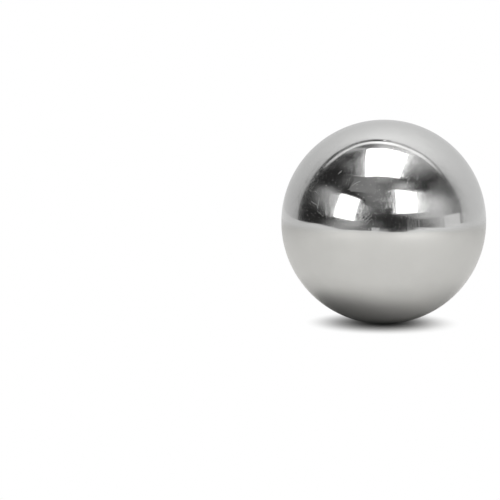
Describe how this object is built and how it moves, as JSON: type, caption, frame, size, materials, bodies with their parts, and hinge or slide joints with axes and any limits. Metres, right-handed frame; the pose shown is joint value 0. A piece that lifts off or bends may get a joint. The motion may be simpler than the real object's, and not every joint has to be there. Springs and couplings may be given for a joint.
{
  "type": "steel ball",
  "caption": "Hollow stainless-steel ball with a plain closed skin, polished to a mirror.",
  "frame": {"origin": "centre of the ball", "axes": "+Z along the axis of the two pressed half shells, so their weld lies in the plane Z = 0"},
  "size_m": [0.15, 0.15, 0.15],
  "materials": {
    "polished_steel": "stainless steel, ground and polished to a mirror"
  },
  "bodies": {
    "root": {"ball": "polished_steel"}
  },
  "joints": []
}
